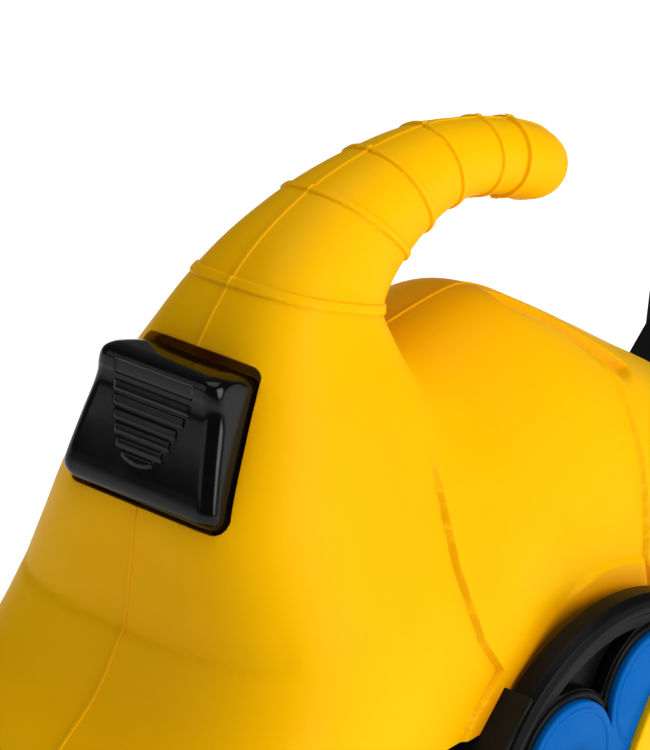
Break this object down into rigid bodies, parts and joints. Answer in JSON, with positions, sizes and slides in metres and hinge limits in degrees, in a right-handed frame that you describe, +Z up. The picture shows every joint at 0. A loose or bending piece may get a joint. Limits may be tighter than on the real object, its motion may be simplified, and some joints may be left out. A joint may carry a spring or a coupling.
{
  "type": "toy cement mixer",
  "caption": "Push-along toy cement mixer with a hooked handle; a thumb lever tips a crank-turned drum on a wheeled chassis",
  "frame": {"origin": "on the ground, in the middle of the length and width", "axes": "+X forward towards the drum, +Y to the left, +Z up"},
  "size_m": [0.5184, 0.193, 0.282],
  "materials": {
    "yellow_moulding": "satin moulded polyethylene with a fine parting line",
    "gloss_black": "polished injection moulding",
    "black_moulding": "fine spark-eroded texture",
    "wheel_black": "satin moulding with rubbed tread",
    "blue_moulding": "satin moulding",
    "grey_nylon": "dull nylon",
    "steel": "zinc plated",
    "rubber": "matt"
  },
  "bodies": {
    "body": {"left_shell": "yellow_moulding", "right_shell": "yellow_moulding", "shell_screws": "steel", "chassis": "black_moulding", "side_steps": "black_moulding", "chassis_screws": "steel", "rear_feet": "rubber", "lever_pin": "steel", "lever_bearing": "black_moulding", "rod_guides": "black_moulding", "rod_spring": "steel", "axle": "steel", "axle_bushes": "grey_nylon", "left_frame": "black_moulding", "right_frame": "black_moulding", "frame_bolts": "steel", "front_axle": "steel", "trunnion_pins": "steel"},
    "thumb_lever": {"lever": "gloss_black", "lever_arm": "grey_nylon"},
    "pull_rod": {"pull_rod": "grey_nylon", "pull_fork": "black_moulding"},
    "left_wheel": {"left_wheel": "wheel_black", "left_hub": "blue_moulding", "left_hub_cap": "yellow_moulding"},
    "right_wheel": {"right_wheel": "wheel_black", "right_hub": "blue_moulding", "right_hub_cap": "yellow_moulding"},
    "left_front_wheel": {"left_front_wheel": "wheel_black"},
    "right_front_wheel": {"right_front_wheel": "wheel_black"},
    "yoke": {"yoke": "black_moulding", "left_tilt_gear": "grey_nylon", "right_tilt_gear": "grey_nylon", "shaft_bush": "grey_nylon"},
    "drum": {"drum_shell": "blue_moulding", "drum_mouth": "yellow_moulding", "drum_blades": "blue_moulding", "drum_shaft": "steel", "crank": "yellow_moulding"},
    "crank_knob": {"crank_knob": "black_moulding"}
  },
  "joints": [
    {"name": "tilt", "type": "hinge", "parent": "body", "child": "yoke", "pos_m": [0.1855, 0, 0.15], "axis": [0, 1, 0], "range_deg": [0, 48]},
    {"name": "lever_press", "type": "hinge", "parent": "body", "child": "thumb_lever", "pos_m": [-0.1985, 0, 0.192], "axis": [0, 1, 0], "range_deg": [0, 14.4]},
    {"name": "rod_slide", "type": "slide", "parent": "body", "child": "pull_rod", "axis": [1, 0, 0], "range_m": [-0.0151, 0], "stiffness_N_per_m": 120, "springref_m": 0.012, "deforming": ["rod_spring"]},
    {"name": "left_wheel_roll", "type": "hinge", "parent": "body", "child": "left_wheel", "pos_m": [-0.0835, 0.08, 0.07], "axis": [0, 1, 0], "continuous": true},
    {"name": "right_wheel_roll", "type": "hinge", "parent": "body", "child": "right_wheel", "pos_m": [-0.0835, -0.08, 0.07], "axis": [0, 1, 0], "continuous": true},
    {"name": "left_front_roll", "type": "hinge", "parent": "body", "child": "left_front_wheel", "pos_m": [0.1675, 0.075, 0.028], "axis": [0, 1, 0], "continuous": true},
    {"name": "right_front_roll", "type": "hinge", "parent": "body", "child": "right_front_wheel", "pos_m": [0.1675, -0.075, 0.028], "axis": [0, 1, 0], "continuous": true},
    {"name": "drum_spin", "type": "hinge", "parent": "yoke", "child": "drum", "pos_m": [0.1855, 0, 0.15], "axis": [0.7431, 0, 0.6691], "continuous": true},
    {"name": "knob_spin", "type": "hinge", "parent": "drum", "child": "crank_knob", "pos_m": [0.14077, 0, 0.08012], "axis": [0.7431, 0, 0.6691], "continuous": true}
  ],
  "couplings": [
    {"joint": "lever_press", "follows": "tilt", "ratio": 0.3},
    {"joint": "rod_slide", "follows": "tilt", "m_per_rad": -0.018}
  ]
}
